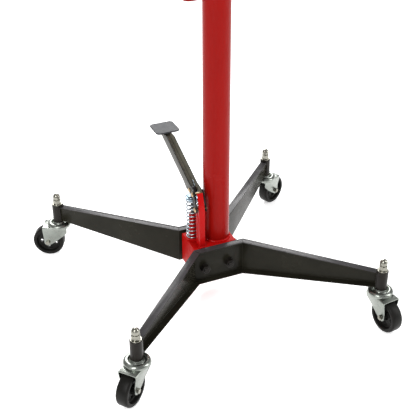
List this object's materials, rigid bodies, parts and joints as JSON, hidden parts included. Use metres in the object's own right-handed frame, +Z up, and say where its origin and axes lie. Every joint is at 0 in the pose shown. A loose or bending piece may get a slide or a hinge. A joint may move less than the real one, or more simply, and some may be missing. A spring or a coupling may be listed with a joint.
{
  "type": "transmission jack",
  "caption": "Pedal-pumped telescopic transmission jack: a tall column with a lifting ram and tilting saddle on a low four-legged base with swivel casters.",
  "frame": {"origin": "on the floor, under the middle of the jack's bounding box", "axes": "+Z up along the column, +X to the right, +Y to the rear; the pump, pedal and grab handle are left of the column"},
  "size_m": [0.8902, 0.8528, 1.227],
  "materials": {
    "red_paint": "glossy red enamel",
    "black_paint": "semi-gloss black enamel",
    "grey_plate": "fine textured grey coat",
    "zinc_plate": "bright zinc plate",
    "machined_steel": "machined steel, lightly oiled",
    "chrome": "ground and polished hard chrome",
    "black_rubber": "satin black"
  },
  "bodies": {
    "base": {"base_block": "red_paint", "front_channel": "black_paint", "rear_channel": "black_paint", "leg_front_left": "black_paint", "socket_front_left": "black_paint", "stem_front_left": "zinc_plate", "stem_nut_front_left": "zinc_plate", "leg_front_right": "black_paint", "socket_front_right": "black_paint", "stem_front_right": "zinc_plate", "stem_nut_front_right": "zinc_plate", "leg_rear_left": "black_paint", "socket_rear_left": "black_paint", "stem_rear_left": "zinc_plate", "stem_nut_rear_left": "zinc_plate", "leg_rear_right": "black_paint", "socket_rear_right": "black_paint", "stem_rear_right": "zinc_plate", "stem_nut_rear_right": "zinc_plate", "tie_bolt_left": "black_paint", "tie_bolt_right": "black_paint", "tie_nut_left": "black_paint", "tie_nut_right": "black_paint", "column_tube": "red_paint", "lift_cylinder": "machined_steel", "gland_nut": "zinc_plate", "filler_plug": "zinc_plate", "grab_handle": "red_paint", "pump_cylinder": "red_paint", "pump_bracket": "red_paint", "return_spring": "zinc_plate"},
    "ram": {"lift_ram": "chrome", "piston_seal": "black_rubber"},
    "saddle_head": {"saddle_fork": "red_paint", "saddle_pin": "zinc_plate"},
    "saddle": {"saddle_tray": "red_paint"},
    "plunger": {"pump_plunger": "machined_steel", "plunger_pin": "zinc_plate", "spring_cup": "zinc_plate"},
    "links": {"link_left": "black_paint", "link_right": "black_paint", "link_pin": "zinc_plate"},
    "pedal": {"pedal_lever": "black_paint", "lever_pin": "zinc_plate", "pedal_plate": "grey_plate"},
    "valve": {"release_valve": "zinc_plate"},
    "caster_front_left": {"fork_front_left": "zinc_plate", "axle_front_left": "zinc_plate"},
    "rolling_front_left": {"wheel_front_left": "black_rubber"},
    "caster_front_right": {"fork_front_right": "zinc_plate", "axle_front_right": "zinc_plate"},
    "rolling_front_right": {"wheel_front_right": "black_rubber"},
    "caster_rear_left": {"fork_rear_left": "zinc_plate", "axle_rear_left": "zinc_plate"},
    "rolling_rear_left": {"wheel_rear_left": "black_rubber"},
    "caster_rear_right": {"fork_rear_right": "zinc_plate", "axle_rear_right": "zinc_plate"},
    "rolling_rear_right": {"wheel_rear_right": "black_rubber"}
  },
  "joints": [
    {"name": "swivel_front_left", "type": "hinge", "parent": "base", "child": "caster_front_left", "pos_m": [-0.364, -0.33994, 0.1], "axis": [0, 0, 1], "continuous": true},
    {"name": "spin_front_left", "type": "hinge", "parent": "caster_front_left", "child": "rolling_front_left", "pos_m": [-0.39275, -0.36323, 0.0485], "axis": [0.6293, -0.7771, 0], "continuous": true},
    {"name": "swivel_front_right", "type": "hinge", "parent": "base", "child": "caster_front_right", "pos_m": [0.362, -0.33994, 0.1], "axis": [0, 0, 1], "continuous": true},
    {"name": "spin_front_right", "type": "hinge", "parent": "caster_front_right", "child": "rolling_front_right", "pos_m": [0.36651, -0.37666, 0.0485], "axis": [0.9925, 0.1219, 0], "continuous": true},
    {"name": "swivel_rear_left", "type": "hinge", "parent": "base", "child": "caster_rear_left", "pos_m": [-0.364, 0.37394, 0.1], "axis": [0, 0, 1], "continuous": true},
    {"name": "spin_rear_left", "type": "hinge", "parent": "caster_rear_left", "child": "rolling_rear_left", "pos_m": [-0.39697, 0.39074, 0.0485], "axis": [-0.454, -0.891, 0], "continuous": true},
    {"name": "swivel_rear_right", "type": "hinge", "parent": "base", "child": "caster_rear_right", "pos_m": [0.362, 0.37394, 0.1], "axis": [0, 0, 1], "continuous": true},
    {"name": "spin_rear_right", "type": "hinge", "parent": "caster_rear_right", "child": "rolling_rear_right", "pos_m": [0.39553, 0.38958, 0.0485], "axis": [-0.4226, 0.9063, 0], "continuous": true},
    {"name": "ram_lift", "type": "slide", "parent": "base", "child": "ram", "axis": [0, 0, 1], "range_m": [0, 0.775]},
    {"name": "saddle_turn", "type": "hinge", "parent": "ram", "child": "saddle_head", "pos_m": [0.0166, 0.017, 1.139], "axis": [0, 0, 1], "continuous": true},
    {"name": "saddle_tilt", "type": "hinge", "parent": "saddle_head", "child": "saddle", "pos_m": [0.0166, 0.017, 1.181], "axis": [1, 0, 0], "range_deg": [-20, 20]},
    {"name": "link_swing", "type": "hinge", "parent": "base", "child": "links", "pos_m": [-0.047, -0.017, 0.301], "axis": [-1, 0, 0], "range_deg": [0, 3.2]},
    {"name": "pedal_swing", "type": "hinge", "parent": "links", "child": "pedal", "pos_m": [-0.047, 0.001, 0.341], "axis": [-1, 0, 0], "range_deg": [0, 16], "stiffness_Nm_per_rad": 8, "springref_deg": -22.92},
    {"name": "plunger_slide", "type": "slide", "parent": "base", "child": "plunger", "axis": [0, 0, -1], "range_m": [0, 0.0115], "deforming": ["return_spring"]},
    {"name": "release_valve_turn", "type": "hinge", "parent": "base", "child": "valve", "pos_m": [0.0595, 0.017, 0.133], "axis": [1, 0, 0], "range_deg": [0, 180]}
  ],
  "couplings": [
    {"joint": "link_swing", "follows": "pedal_swing", "ratio": 0.185},
    {"joint": "plunger_slide", "follows": "pedal_swing", "m_per_rad": 0.0394}
  ]
}
